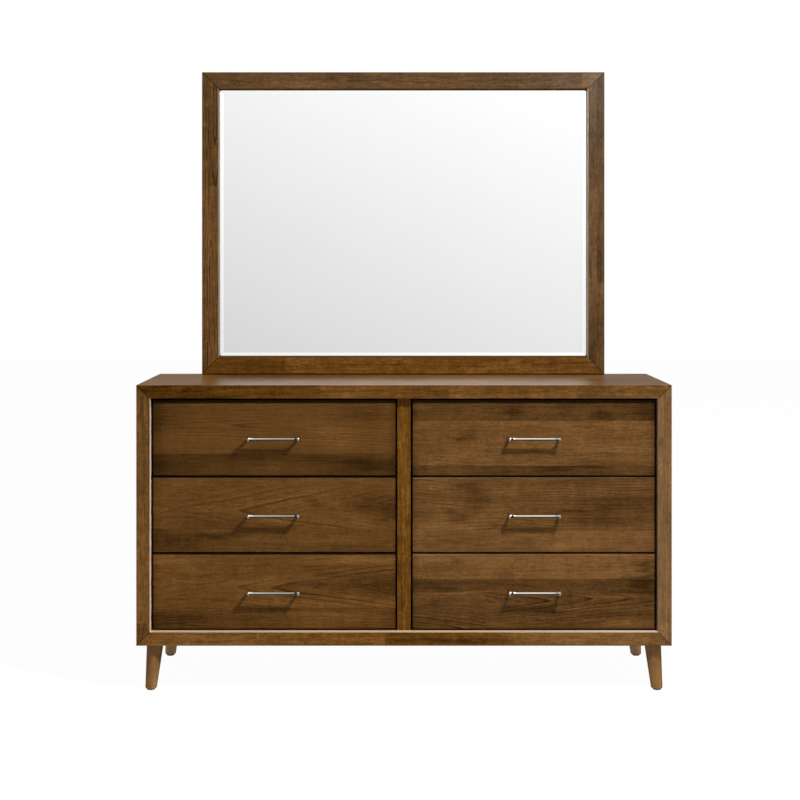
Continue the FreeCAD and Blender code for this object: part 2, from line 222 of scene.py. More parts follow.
def timber_figure():
    """Place is (along the grain, across, into the board), in metres. Heart is where the growth
    rings close, along and across, and how deep the pith lies there. Form is how fast the pith
    rises away from there, the width of a ring, and how far from the pith the dark heartwood goes."""
    group = bpy.data.node_groups.new("timber_figure", "ShaderNodeTree")
    for name in ("Place", "Heart", "Form", "Tone", "Seed", "Gain"):
        kind = "Vector" if name in ("Place", "Heart", "Form") else "Float"
        group.interface.new_socket(name, in_out="INPUT", socket_type="NodeSocket" + kind)
    for name in ("Tone", "Relief"):
        group.interface.new_socket(name, in_out="OUTPUT", socket_type="NodeSocketFloat")
    build = Builder(group)
    given = group.nodes.new("NodeGroupInput")
    place, heart, form, tone, seed, gain = given.outputs[:6]
    shift = build.vector("MULTIPLY", build.join(seed, seed, seed), (2.31, 1.73, 0.97))
    spot = build.vector("ADD", place, shift)
    along, across, into = build.split(place)[:3]
    heart_along, heart_across, pith_depth = build.split(heart)[:3]
    rise, ring_width, core = build.split(form)[:3]

    def marks(lengthwise, crosswise, detail, roughness=0.6):
        return build.noise(spot, (lengthwise, crosswise, crosswise), detail, roughness)

    aside = build.total(
        build.scaled(into, 0.7, across),
        build.times(heart_across, -1.0),
        build.layers((marks(1.6, 6.0, 1.0, 0.5), 0.022), (marks(9.0, 36.0, 2.0, 0.5), 0.004)),
    )
    aside = build.math("SQRT", build.scaled(aside, aside, 0.00001))
    curved = build.math("DIVIDE", build.times(aside, aside), build.scaled(aside, 1.0, 0.04))
    away = build.less(along, heart_along)
    away = build.math("SQRT", build.scaled(away, away, 0.0009))
    depth = build.math("MAXIMUM", build.less(pith_depth, build.times(away, rise)), 0.002)
    radius = build.total(depth, aside, build.scaled(curved, 1.6))

    uneven = build.noise(build.join(radius, seed, 0.0), (24.0, 1.0, 1.0), 1.0)
    phase = build.scaled(uneven, 0.6, build.math("DIVIDE", radius, ring_width))
    saw = build.math("FRACT", phase)
    line = build.times(build.smooth(saw, 0.74, 0.92), build.smooth(saw, 1.0, 0.94))
    glow = build.times(build.smooth(saw, 0.0, 0.04), build.smooth(saw, 0.3, 0.06))
    fine_saw = build.math("FRACT", build.scaled(phase, 3.3))
    fine_line = build.times(build.smooth(fine_saw, 0.5, 0.9), build.smooth(fine_saw, 1.0, 0.92))
    presence = build.smooth(marks(3.0, 16.0, 1.0, 0.5), -0.4, 0.35, 0.15, 1.0)
    presence = build.times(presence, build.smooth(radius, 0.4, 0.15, 0.25, 1.0))
    line, glow = build.times(line, presence), build.times(glow, presence)

    cloud, fibre = marks(3.2, 9.0, 4.0), marks(22.0, 380.0, 3.0, 0.7)
    streak, thread = marks(2.4, 60.0, 3.0), marks(14.0, 170.0, 2.0)
    dash, fleck = marks(55.0, 150.0, 2.0), marks(150.0, 190.0, 2.0)
    curl = marks(38.0, 14.0, 3.0, 0.7)
    pores = build.smooth(marks(60.0, 1100.0, 1.0, 0.5), 0.25, 0.6)
    frayed = build.scaled(cloud, 0.014, radius)
    heartwood = build.smooth(frayed, build.scaled(core, 0.5), build.scaled(core, 1.3), 1.0, 0.0)

    figure = build.layers(
        (cloud, 0.15), (streak, 0.08), (thread, 0.09), (dash, 0.08), (fleck, 0.09), (fibre, 0.08),
        (curl, 0.07), (line, -0.2), (glow, 0.07), (fine_line, -0.025), (pores, -0.06))
    out = group.nodes.new("NodeGroupOutput")
    build.feed(out.inputs[0], build.total(build.scaled(figure, gain, tone), build.scaled(heartwood, -0.11)))
    build.feed(out.inputs[1], build.layers((fibre, 0.35), (pores, -0.9), (line, -0.25)))
    return group


FIGURE = timber_figure()
GRAIN_ALONG = {"x": (0, 1, 2), "y": (1, 0, 2), "z": (2, 1, 0), "front": (0, 2, 1)}


def grain_place(build, way):
    """The place on the object, as it is and with the grain's way first."""
    point = build.point()
    axes = build.split(point)
    return point, build.join(*[axes[index] for index in GRAIN_ALONG[way]])


def figured(build, *inputs):
    """Takes place, heart, form, tone, seed and gain."""
    return build.node("Group", dict(enumerate(inputs)), node_tree=FIGURE).outputs


def lacquered(build, colour, figure, roughness=0.34, ior=1.12):
    """A satin lacquer over stained timber."""
    rough = build.scaled(figure["Relief"], -0.05, roughness)
    return surface(build, colour, rough, figure["Relief"], (0.12, 0.0004), IOR=ior)


MITRE_LINE = (0.0007, 0.0022)


def from_edges(build, point, half, low, high):
    """How far a point is from the nearer side and the nearer end of an upright rectangle."""
    x, y, z = build.split(point)[:3]
    height = build.absolute(build.less(z, (low + high) / 2))
    return build.less(half, build.absolute(x)), build.less((high - low) / 2, height)


def mitre_line(build, point, half, low, high, reach):
    """1 on the joint line of a mitred frame, 0 elsewhere."""
    from_side, from_end = from_edges(build, point, half, low, high)
    off = build.absolute(build.less(from_side, from_end))
    inside = build.math("LESS_THAN", from_end, reach)
    return build.times(build.smooth(off, *MITRE_LINE, 1.0, 0.0), inside)


FRAME_STAVE = (0.36, 0.085)
PLAIN_STAVE = (0.9, 0.14)
BOX_STAVE = (1.4, 0.3)


def staves(build, place, stave_length, stave_width, seed):
    """A tone step for each stave of a board glued up from short lengths, from -1 to 1."""
    along, across, into = build.split(place)[:3]
    lane = build.math("FLOOR", build.math("DIVIDE", build.total(across, into), stave_width))
    shift = build.node("TexWhiteNoise", {"W": build.total(lane, seed)}, noise_dimensions="1D")
    step = build.math("FLOOR", build.scaled(along, 1 / stave_length, shift.outputs[0]))
    drawn = build.node("TexWhiteNoise", {"Vector": build.join(step, lane, seed)}).outputs[0]
    return build.scaled(drawn, 2.0, -1.0), build.total(drawn, seed)


# Case top: painted light lifts the top face's tone, less to the right and more at the left end; the coat is
# real polish
TOP_PAINTED_LIGHT = 0.185
TOP_PAINTED_LIGHT_RIGHT = (0.1, 0.6, -0.07)
TOP_PAINTED_LIGHT_LEFT = (-0.62, -0.5, 0.25)
POLISH_AND_PAINTED_LIGHT_EDGE = (0.0006, 0.0003)
POLISH_COAT = 0.62
POLISH_ROUGHNESS = 0.32
EVEN_GRAIN = ((0.2, 0.42, 0.3), (0.1, 0.04, 0.0001))


def frame_timber(name, way, seed, tones, faded, measures, grain=EVEN_GRAIN, polish_and_painted_light_above=None):
    """The mitred members: lengthwise grain, glued staves, mottling and a dark line at each mitre.
    Tones and faded are (at the low end, in the middle, at the high end)."""
    half, low, high, reach = measures
    material, build = new_material(name)
    point, place = grain_place(build, way)
    along = build.split(place)[0]
    start, end = (-half, half) if way == "x" else (low, high)
    middle = (start + end) / 2

    def run(values):
        first = build.smooth(along, start, middle, values[0] - values[1], 0.0)
        last = build.smooth(along, middle, end, 0.0, values[2] - values[1])
        return build.total(values[1], first, last)

    step, stave_seed = staves(build, place, *FRAME_STAVE, seed)
    mottle = build.noise(place, (26.0, 60.0, 60.0), 3.0, 0.65)
    level = build.total(run(tones), build.layers((step, 0.045), (mottle, 0.11)))
    # Painted light and reflection: the top face's tone is lifted for the light that the mirror and the
    # lamps throw on it
    if polish_and_painted_light_above:
        edge = [polish_and_painted_light_above - below for below in POLISH_AND_PAINTED_LIGHT_EDGE]
        polish_and_painted_light = build.smooth(build.split(point)[2], *edge)
        near, far, drop = TOP_PAINTED_LIGHT_RIGHT
        lift = build.smooth(along, near, far, TOP_PAINTED_LIGHT, TOP_PAINTED_LIGHT + drop)
        far, near, rise = TOP_PAINTED_LIGHT_LEFT
        lift = build.total(lift, build.smooth(along, far, near, rise, 0.0))
        level = build.scaled(polish_and_painted_light, lift, level)
    figure = figured(build, place, *grain, level, stave_seed, 1.6)
    colour = walnut_colour(build, figure["Tone"], run(faded))
    joint = mitre_line(build, point, half, low, high, reach)
    colour = build.mix(build.scaled(joint, 0.85), colour, srgb(22, 10, 4))
    shader = lacquered(build, colour, figure)
    if polish_and_painted_light_above:
        build.feed(shader.inputs["Coat Weight"], build.scaled(polish_and_painted_light, POLISH_COAT))
        shader.inputs["Coat Roughness"].default_value = POLISH_ROUGHNESS
    return material


# Drawer fronts. Boards are (left, right, top, bottom) as shares of the front's width and height,
# then the tone, the heart (along, across, depth) and the form (rise, ring width, core). Spots are
# (along, across, reach along, reach across, amount) in hundredths. Shade is painted shade, (reach,
# amount) at the left and at the right; top_edge (near, far, amount) below the top is painted shade
# where the amount is below 0 and a painted highlight where it is above 0; arris is how strong the
# painted highlight on the top edge is.
STRAIGHT = ((0.5, 2.4, 0.05), (0.05, 0.02, 0.0001))
FRONTS = {
    "left_top": dict(
        tone=0.45, faded=0.35, gain=0.8, arris=0, top_edge=(0.0055, 0.0085, -0.45),
        shade=((0.05, -0.13), (0.024, -0.09)),
        boards=[((0, 1, 0, 0.71), 0.5, (0.12, 0.33, 0.072), (0.1, 0.02, 0.0001)),
                ((0, 1, 0.71, 1), 0.37, (0.65, 1.3, 0.05), (0.06, 0.018, 0.0001))],
        spots=[(2, 10, 12, 35, -10), (86, 20, 12, 14, -10), (76, 52, 9, 20, 9), (90, 86, 9, 8, -12),
               (3, 86, 10, 13, -8), (50, 90, 25, 10, 6)]),
    "left_middle": dict(
        tone=0.444, faded=0.38, gain=1.1, arris=0.06, top_edge=(0.0012, 0.004, -0.22),
        shade=((0.03, -0.07), (0.012, -0.04)),
        boards=[((0, 1, 0, 0.12), 0.52, *STRAIGHT),
                ((0, 1, 0.12, 0.69), 0.53, (0.1, 0.42, 0.27), (0.36, 0.03, 0.11)),
                ((0, 1, 0.69, 1), 0.47, (-0.25, 1.35, 0.05), (0.03, 0.017, 0.0001))],
        spots=[(88, 28, 16, 14, -10), (96, 52, 8, 12, -7), (67, 35, 3.5, 10, -14), (76, 38, 3, 7, 8),
               (27, 79, 9, 5, -16), (7, 86, 10, 12, -9), (80, 80, 25, 12, 8), (52, 58, 8, 6, 7)]),
    "left_bottom": dict(
        tone=0.443, faded=0.33, gain=1.15, arris=0.03, top_edge=(0.0012, 0.004, -0.22),
        shade=((0.03, -0.1), (0.02, -0.05)),
        boards=[((0, 1, 0, 0.15), 0.57, *STRAIGHT),
                ((0, 1, 0.15, 0.72), 0.55, (0.18, 0.45, 0.23), (0.34, 0.04, 0.12)),
                ((0, 1, 0.72, 1), 0.45, (-0.2, 1.3, 0.06), (0.03, 0.018, 0.0001))],
        spots=[(88, 36, 16, 16, -8), (70, 33, 5, 13, -8), (10, 88, 16, 10, -12), (72, 86, 22, 10, 10),
               (45, 42, 10, 10, 5), (85, 8, 22, 6, 8)]),
    "right_top": dict(
        tone=0.415, faded=0.5, gain=1.35, arris=0, top_edge=(0.0055, 0.0085, -0.45),
        shade=((0.024, -0.08), (0.018, -0.13)),
        boards=[((0, 1, 0, 0.265), 0.46, (0.3, -1.2, 0.05), (0.05, 0.019, 0.0001)),
                ((0, 1, 0.265, 0.87), 0.6, (0.85, 1.05, 0.1), (0.12, 0.017, 0.0001)),
                ((0, 1, 0.87, 1), 0.47, *STRAIGHT)],
        spots=[(41, 13, 5, 12, -15), (64, 13, 3, 10, -10), (80, 20, 6, 7, -15), (96, 15, 7, 12, -16),
               (21, 47, 4.5, 6, -14), (86, 68, 14, 14, 9), (58, 92, 10, 4, -14), (75, 90, 8, 3, -8)]),
    "right_middle": dict(
        tone=0.42, faded=0.52, gain=1.25, arris=0.2, top_edge=(0.0015, 0.006, 0.05),
        shade=((0.02, -0.05), (0.014, -0.08)),
        boards=[((0, 1, 0, 0.71), 0.57, (0.33, 0.44, 0.03), (0.14, 0.019, 0.004)),
                ((0, 1, 0.71, 1), 0.6, *STRAIGHT)],
        spots=[(26, 25, 6, 18, -15), (18, 52, 4, 12, -15), (3, 52, 8, 10, -10), (90, 33, 12, 8, -10),
               (15, 68, 12, 8, 8), (72, 85, 25, 12, 5), (10, 15, 10, 12, 6), (86, 44, 20, 13, -15),
               (78, 60, 16, 7, -10)]),
    "right_bottom": dict(
        tone=0.46, faded=0.48, gain=1.35, arris=0.15, top_edge=(0.0015, 0.006, 0.1),
        shade=((0.024, -0.06), (0.01, -0.05)),
        boards=[((0, 1, 0, 0.335), 0.62, (0.75, -0.9, 0.06), (0.05, 0.02, 0.0001)),
                ((0, 0.418, 0, 0.335), 0.58, (-0.45, -0.6, 0.1), (0.1, 0.018, 0.0001)),
                ((0, 1, 0.335, 0.52), 0.42, (0.6, 1.4, 0.05), (0.04, 0.018, 0.0001)),
                ((0, 1, 0.52, 1), 0.44, (1.25, 0.58, 0.16), (0.22, 0.022, 0.0001)),
                ((0, 0.3, 0.52, 1), 0.5, (0.75, 1, 0.15), (0.2, 0.02, 0.0001))],
        spots=[(17, 9, 2.5, 6, -15), (97, 25, 4, 22, -20), (92, 42, 6, 12, -12), (12, 42, 14, 6, -10),
               (22, 51.5, 20, 1.5, 16), (82, 57, 16, 2.5, 14), (66, 74, 12, 3, 10), (85, 93, 10, 5, 12),
               (85, 80, 16, 7, -10)]),
}
# Narrow bands near a front's edges, in metres: painted shade at the ends and the top chamfer, the
# arris's painted highlight, and the near-black edge faces behind the face, painted shade in the gaps
END_SHADES = {"left": ((0.007, -0.14), (0.0045, -0.04)), "right": ((0.007, -0.06), (0.0045, -0.3))}
CHAMFER_SHADE = (0.001, 0.0019, -0.35)
ARRIS = (0.003, 0.0016)
FACE_DEPTH = (0.0012, 0.0024)
SEAM = 0.0008


def front_boards(build, boards, low, high, share_x, share_z, seed):
    """The heart, form, tone and seed of the plank that a point is on, and the seams between planks."""
    width, height = high.x - low.x, high.z - low.z

    def placed(heart):
        along, across, depth = heart
        return (low.x + along * width, high.z - across * height, depth)

    heart, form, level, seams = placed(boards[0][2]), boards[0][3], (boards[0][1], seed, 0.0), 0.0
    for number, ((left, right, top, bottom), tone, board_heart, board_form) in enumerate(boards[1:], 1):
        wide = build.math("COMPARE", share_x, (left + right) / 2, (right - left) / 2)
        tall = build.math("COMPARE", share_z, (top + bottom) / 2, (bottom - top) / 2)
        here = build.times(wide, tall)
        heart = build.choose(here, heart, placed(board_heart))
        form = build.choose(here, form, board_form)
        level = build.choose(here, level, (tone, seed + number, 0.0))
        if top > 0:
            joint = build.smooth(build.absolute(build.less(share_z, top)), 0.0, SEAM / height, 1.0, 0.0)
            seams = build.math("MAXIMUM", seams, build.times(joint, wide))
    tone, board_seed = build.split(level)[:2]
    return heart, form, tone, board_seed, seams


def front_spots(build, spots, share):
    """The sum of the soft dark and pale spots."""
    shade = 0.0
    for spot in spots:
        along, across, reach_along, reach_across, amount = [part / 100 for part in spot]
        stretch = (1 / reach_along, 1 / reach_across, 0.0)
        origin = (-along / reach_along, -across / reach_across, 0.0)
        far = build.vector("LENGTH", build.vector("MULTIPLY_ADD", share, stretch, origin))
        shade = build.total(shade, build.smooth(far, 0.0, 1.6, amount, 0.0))
    return shade


def front_edges(build, look, column, low, high, x, z):
    """What the tone gains or loses near the front's ends and top: painted shade, on some a painted
    highlight.
    """
    parts = []
    for (left_reach, left_shade), (right_reach, right_shade) in (look["shade"], END_SHADES[column]):
        parts.append(build.smooth(x, low.x, low.x + left_reach, left_shade, 0.0))
        parts.append(build.smooth(x, high.x - right_reach, high.x, 0.0, right_shade))
    for near, far, amount in (look["top_edge"], CHAMFER_SHADE):
        parts.append(build.smooth(z, high.z - far, high.z - near, 0.0, amount))
    return build.total(*parts)


def front_timber(place_name, seed):
    """A drawer front edge-joined from planks, each with its own figure."""
    material, build = new_material("front_" + place_name)
    look = FRONTS[place_name]
    low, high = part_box("drawer_front_" + place_name)
    width, height = high.x - low.x, high.z - low.z
    point, place = grain_place(build, "front")
    wave = build.noise(place, (7.0, 30.0, 7.0), 3.0)
    x, y, z = build.split(point)[:3]
    inward = build.less(y, low.y)
    place = build.join(x, z, inward)
    share_x = build.scaled(x, 1 / width, -low.x / width)
    share_z = build.scaled(z, -1 / height, high.z / height)
    boards = front_boards(build, look["boards"], low, high, share_x, share_z, seed)
    heart, form, tone, board_seed, seams = boards

    lengthwise = build.noise(place, (3.0, 75.0, 3.0), 3.0, 0.65)
    offset = build.join(build.total(wave, build.scaled(lengthwise, 2.2)), wave, 0.0)
    share = build.vector("MULTIPLY_ADD", offset, (0.04, 0.07, 0.0), build.join(share_x, share_z, 0.0))
    spots = front_spots(build, look["spots"], share)
    tone = build.scaled(spots, build.scaled(lengthwise, 1.2, 1.0), tone)
    edges = front_edges(build, look, place_name.split("_")[0], low, high, x, z)
    tone = build.total(tone, edges, look["tone"] - 0.5)
    figure = figured(build, place, heart, form, tone, board_seed, look["gain"])

    colour = walnut_colour(build, figure["Tone"], look["faded"])
    # A pale grey along the top arris: a painted highlight, as strong as the front's arris value
    arris = build.smooth(z, *[high.z - below for below in ARRIS], 0.0, look["arris"])
    colour = build.mix(arris, colour, srgb(136, 124, 114))
    colour = build.mix(build.scaled(seams, 0.35), colour, srgb(30, 16, 6))
    # The edge faces behind the front's face turn near-black: painted shade, so the gaps between the fronts
    # read dark
    edge = build.smooth(inward, *FACE_DEPTH, 0.0, 0.86)
    colour = build.mix(edge, colour, srgb(22, 13, 6))
    lacquered(build, colour, figure)
    return material


def plain_timber(name, way, seed, tone, stain, contrast, roughness, gain=1.0, ior=1.12):
    """Simple boards: the stile, the rails, the posts and the slips."""
    material, build = new_material(name)
    place = grain_place(build, way)[1]
    step, stave_seed = staves(build, place, *PLAIN_STAVE, seed)
    level = build.scaled(step, contrast, tone)
    figure = figured(build, place, (0.1, 0.5, 0.2), (0.1, 0.022, 0.0001), level, stave_seed, gain)
    lacquered(build, build.ramp(figure["Tone"], *stain), figure, roughness, ior)
    return material


PALE_FOOT = (CASE_BOTTOM * 0.75, 0.02)


def leg_timber(name, tone, faded):
    """Turned legs, paler towards the foot, with a few dark flecks."""
    material, build = new_material(name)
    point, place = grain_place(build, "z")
    low_down = build.smooth(build.split(point)[2], *PALE_FOOT)
    patch = build.noise(place, (14.0, 9.0, 9.0), 2.0)
    fleck = build.smooth(build.noise(place, (34.0, 60.0, 60.0), 2.0), 0.25, 0.6)
    tone = build.total(build.layers((low_down, 0.09), (patch, 0.16), (fleck, -0.2)), tone)
    figure = figured(build, place, (0.0, 0.1, 0.2), (0.1, 0.009, 0.0001), tone, 5.3, 1.0)
    lacquered(build, walnut_colour(build, figure["Tone"], faded), figure, 0.3, 1.3)
    return material


def box_boards(name):
    """The drawer boxes: grain along each board, so it turns on the boards that face front or back."""
    material, build = new_material(name)
    x, y, z = build.split(build.point())[:3]
    facing = build.split(build.node("NewGeometry").outputs["Normal"])[1]
    crosswise = build.math("GREATER_THAN", build.absolute(facing), 0.5)
    place = build.choose(crosswise, build.join(y, z, x), build.join(x, z, y))
    step, stave_seed = staves(build, place, *BOX_STAVE, 14.0)
    level = build.scaled(step, 0.08, 0.55)
    figure = figured(build, place, (0.1, 0.3, 0.1), (0.03, 0.012, 0.0001), level, stave_seed, 0.8)
    lacquered(build, build.ramp(figure["Tone"], *BIRCH), figure, 0.55)
    return material


def plywood_sheet(name):
    """Rotary-cut veneer, with a wide loose figure."""
    material, build = new_material(name)
    place = build.point()
    figure = figured(build, place, (0.0, 0.0, 0.3), (0.12, 0.055, 0.0001), 0.55, 9.1, 1.0)
    lacquered(build, build.ramp(figure["Tone"], *PINE), figure, 0.6)
    return material


def metal(name, colours, roughness, bump=(0.04, 0.0002)):
    """Brushed along its length, a little cloudy."""
    material, build = new_material(name)
    point = build.point()
    brush = build.noise(point, (4.0, 900.0, 900.0), 2.0)
    cloud = build.noise(point, (9.0, 9.0, 9.0), 3.0)
    level = build.total(build.layers((brush, 0.15), (cloud, 0.25)), 0.5)
    rough = build.scaled(build.total(brush, cloud), roughness * 0.2, roughness)
    surface(build, build.ramp(level, *colours), rough, brush, bump, Metallic=1.0)
    return material


def nylon(name):
    material, build = new_material(name)
    grain = build.noise(build.point(), (700.0, 700.0, 700.0), 2.0)
    colour = build.ramp(build.scaled(grain, 0.3, 0.5), (92, 76, 58), (128, 110, 88))
    surface(build, colour, build.scaled(grain, 0.05, 0.55), grain, (0.15, 0.0002))
    return material


def clear_glass(name):
    """Bevelled plate glass, with the faintest waviness."""
    material, build = new_material(name)
    wave = build.noise(build.point(), (2.0, 2.0, 2.0), 2.0)
    colour = build.ramp(build.scaled(wave, 0.5, 0.5), (251, 252, 250), (253, 254, 252))
    surface(build, colour, build.scaled(wave, 0.0005, 0.0005), wave, (0.01, 0.0001),
            IOR=1.5, Transmission_Weight=1.0)
    return material


# How far in from the glass's edge the silver's painted highlight reaches
BEVEL_LINE = (0.0215, 0.02)


def silvering(name):
    """Silver, brightest behind the bevel, a painted highlight there."""
    material, build = new_material(name)
    point = build.point()
    haze = build.noise(point, (3.0, 3.0, 3.0), 3.0)
    colour = build.ramp(build.scaled(haze, 0.5, 0.5), (235, 235, 236), (237, 237, 238))
    low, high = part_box("mirror_glass")
    edges = from_edges(build, point, high.x, low.z, high.z)
    rim = build.smooth(build.math("MINIMUM", *edges), *BEVEL_LINE)
    colour = build.mix(rim, colour, srgb(253, 253, 253))
    surface(build, colour, build.scaled(haze, 0.001, 0.002), Metallic=1.0)
    return material


# Where the trim's painted right side begins, where its foot is, and where the foot's painted light
# brightens to the right
TRIM_PAINTED_RIGHT = 0.5
TRIM_FOOT = [CASE_BOTTOM + PANEL + above for above in (0.002, 0.001)]
TRIM_FOOT_PAINTED_LIGHT = (0.3, 0.65)


def champagne_trim(name, dark, pale, right, foot=None):
    """A pale strip in an opening; its right side has another colour, and so may its foot: painted light and
    shade.
    """
    material, build = new_material(name)
    point = build.point()
    brush = build.noise(point, (6.0, 500.0, 6.0), 2.0)
    cloud = build.noise(point, (7.0, 7.0, 7.0), 3.0)
    level = build.total(build.layers((brush, 0.12), (cloud, 0.3)), 0.5)
    x, y, z = build.split(point)[:3]
    # The right side's own colour: painted shade in the case's opening, painted light at the mirror
    painted_right_side = build.math("GREATER_THAN", x, TRIM_PAINTED_RIGHT)
    colour = build.mix(painted_right_side, build.ramp(level, dark, pale), srgb(*right))
    # A given foot's colour brightens to the right: painted light
    if foot:
        foot_colours = [srgb(*colour) for colour in foot]
        foot_colour = build.mix(build.smooth(x, *TRIM_FOOT_PAINTED_LIGHT), *foot_colours)
        colour = build.mix(build.smooth(z, *TRIM_FOOT), colour, foot_colour)
    surface(build, colour, build.scaled(brush, 0.05, 0.42), brush, (0.05, 0.0002), Metallic=0.25)
    return material


def each(kind):
    """The names of one kind of node in all the drawers."""
    return [kind + name for name in PLACES]


def dress(material, *names):
    for name in names:
        if not nodes[name].material_slots:
            nodes[name].data.materials.append(material)
        for slot in nodes[name].material_slots:
            slot.material = material


# Finishes on the CAD nodes
CASE_SIZE = (CASE_HALF, CASE_BOTTOM, CASE_TOP, PANEL + 0.001)
MIRROR_SIZE = (MIRROR_HALF, mirror_foot, MIRROR_TOP, 0.05)
dress(frame_timber("case_top_timber", "x", 1.0, (0.32, 0.495, 0.47), (0.0, 0.2, 0.45),
                   CASE_SIZE, polish_and_painted_light_above=CASE_TOP), "top_panel")
FRAME_LOOKS = {
    "bottom_panel": ("x", 2.0, (0.67, 0.51, 0.6), (0.25, 0.05, 0.5), CASE_SIZE),
    "side_panel_left": ("z", 3.0, (0.54, 0.52, 0.52), (0.35, 0.4, 0.45), CASE_SIZE),
    "side_panel_right": ("z", 4.0, (0.63, 0.61, 0.62), (0.95, 1.0, 0.9), CASE_SIZE),
    "mirror_rail_top": ("x", 7.0, (0.44, 0.45, 0.45), (0.9, 1.0, 1.0), MIRROR_SIZE),
    "mirror_rail_bottom": ("x", 8.0, (0.485, 0.495, 0.505), (0.05, 0.1, 0.2), MIRROR_SIZE),
    "mirror_stile_left": ("z", 9.0, (0.47, 0.465, 0.46), (0.5, 0.6, 0.7), MIRROR_SIZE,
                          ((1.42, -0.235, 0.02), (0.1, 0.011, 0.0001))),
    "mirror_stile_right": ("z", 10.0, (0.42, 0.42, 0.42), (0.9, 1.0, 1.0), MIRROR_SIZE),
}
for name, look in FRAME_LOOKS.items():
    dress(frame_timber(name + "_timber", *look), name)
dress(plain_timber("stile_timber", "z", 6.0, 0.42, AMBER, 0.1, 0.34, 2.0), "centre_stile")
for number, name in enumerate(PLACES):
    dress(front_timber(name, 20.0 + 7 * number), "drawer_front_" + name)
dress(leg_timber("front_leg_timber", 0.63, 0.5), "front_legs")
# The rear legs take a higher tone and more fading than the front legs: painted light that lifts them out of
# the shade under the case
dress(leg_timber("rear_leg_timber_painted_light", 1.1, 0.8), "rear_legs")
# The inner parts and rails are a near-black umber: painted shade, so the gaps between the fronts read dark
dress(plain_timber("inner_timber", "y", 11.0, 0.5, UMBER, 0.08, 0.6),
      "centre_partition", "slide_cleats")
dress(plain_timber("rail_timber", "x", 12.0, 0.5, UMBER, 0.08, 0.6), "drawer_rails")
post_timber = plain_timber("post_timber", "z", 13.0, 0.5, UMBER, 0.08, 0.55)
dress(post_timber, "mirror_supports")
dress(box_boards("box_timber"), *each("drawer_box_"))
dress(plywood_sheet("drawer_plywood"), *each("drawer_bottom_"))
dress(plywood_sheet("back_plywood"), "back_panel", "mirror_backing")
nickel = metal("polished_nickel", ((196, 190, 178), (226, 222, 214)), 0.06, (0.005, 0.0001))
# Near-black zinc on the slides and clips; on the slides the darkness is painted shade, so the gaps between
# the fronts read dark
zinc = metal("zinc_painted_near_black", ((34, 34, 36), (56, 57, 60)), 0.38)
dress(zinc, "cabinet_slides", "mirror_clips", *each("drawer_slides_"), *each("middle_slides_"))
dress(nylon("foot_nylon"), "foot_glides")
dress(clear_glass("clear_glass"), "mirror_glass")


# New pieces
def new_object(name, data):
    made = bpy.data.objects.new(name, data)
    bpy.context.scene.collection.objects.link(made)
    return made


def add_piece(name, made, material, body):
    """Makes an object of a built mesh and lets it ride on its body."""
    bmesh.ops.recalc_face_normals(made, faces=made.faces)
    mesh = bpy.data.meshes.new(name)
    made.to_mesh(mesh)
    made.free()
    mesh.materials.append(material)
    piece = new_object(name, mesh)
    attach(piece, body)
    return piece


def band(made, low, high, smooth=False):
    """Quads all the way round between two rings of the same count."""
    for here in range(len(low)):
        after = (here + 1) % len(low)
        made.faces.new((low[here], low[after], high[after], high[here])).smooth = smooth


def add_boxes(name, boxes, material):
    """A piece of closed boxes, each given by two opposite corners."""
    made = bmesh.new()
    for low, high in boxes:
        verts = [made.verts.new(corner) for corner in product(*zip(low, high))]
        for face in ((0, 1, 3, 2), (4, 6, 7, 5), (0, 4, 5, 1),
                     (2, 3, 7, 6), (0, 2, 6, 4), (1, 5, 7, 3)):
            made.faces.new([verts[index] for index in face])
    add_piece(name, made, material, "case")


PULL_REACH = 0.075
PULL_BAR = 0.0044
PULL_END = 0.007
PULL_POST = 0.0042
PULL_POST_PLACE = 0.07
PULL_FLARE_START = 0.056
PULL_FLARE_END = 0.0702
PULL_ROUND = 0.0048
PULL_STEPS = 8

# The post's lower end: (from its foot, share of its radius)
PULL_FOOT = ((0.004, 1.0), (0.002, 1.15), (0.0006, 1.3), (0.0, 1.3))


def lathe(made, profile, centre, turn, sides=28):
    """Turns a profile of (reach along the axis, radius) pairs; turn sets the axis."""
    angles = [2 * math.pi * side / sides for side in range(sides)]
    rings = []
    for reach, radius in profile:
        spots = [Vector((reach, radius * math.cos(angle), radius * math.sin(angle))) for angle in angles]
        rings.append([made.verts.new(turn @ spot + centre) for spot in spots])
    for low, high in zip(rings, rings[1:]):
        band(made, low, high, True)
    made.faces.new(rings[0])
    made.faces.new(reversed(rings[-1]))


def pull_profile():
    """Half the bar, from its middle out: plain, an S-curved flare, then a rounded end."""
    flare = PULL_FLARE_END - PULL_FLARE_START
    profile = [(0.0, PULL_BAR)]
    for step in range(PULL_STEPS + 1):
        share = step / PULL_STEPS
        rise = share * share * (3 - 2 * share)
        profile.append((PULL_FLARE_START + flare * share, PULL_BAR + (PULL_END - PULL_BAR) * rise))
    for step in range(PULL_STEPS):
        angle = math.pi / 2 * step / PULL_STEPS
        profile.append((PULL_REACH - PULL_ROUND * (1 - math.sin(angle)),
                        PULL_END - PULL_ROUND * (1 - math.cos(angle))))
    profile.append((PULL_REACH, PULL_END - PULL_ROUND))
    return profile


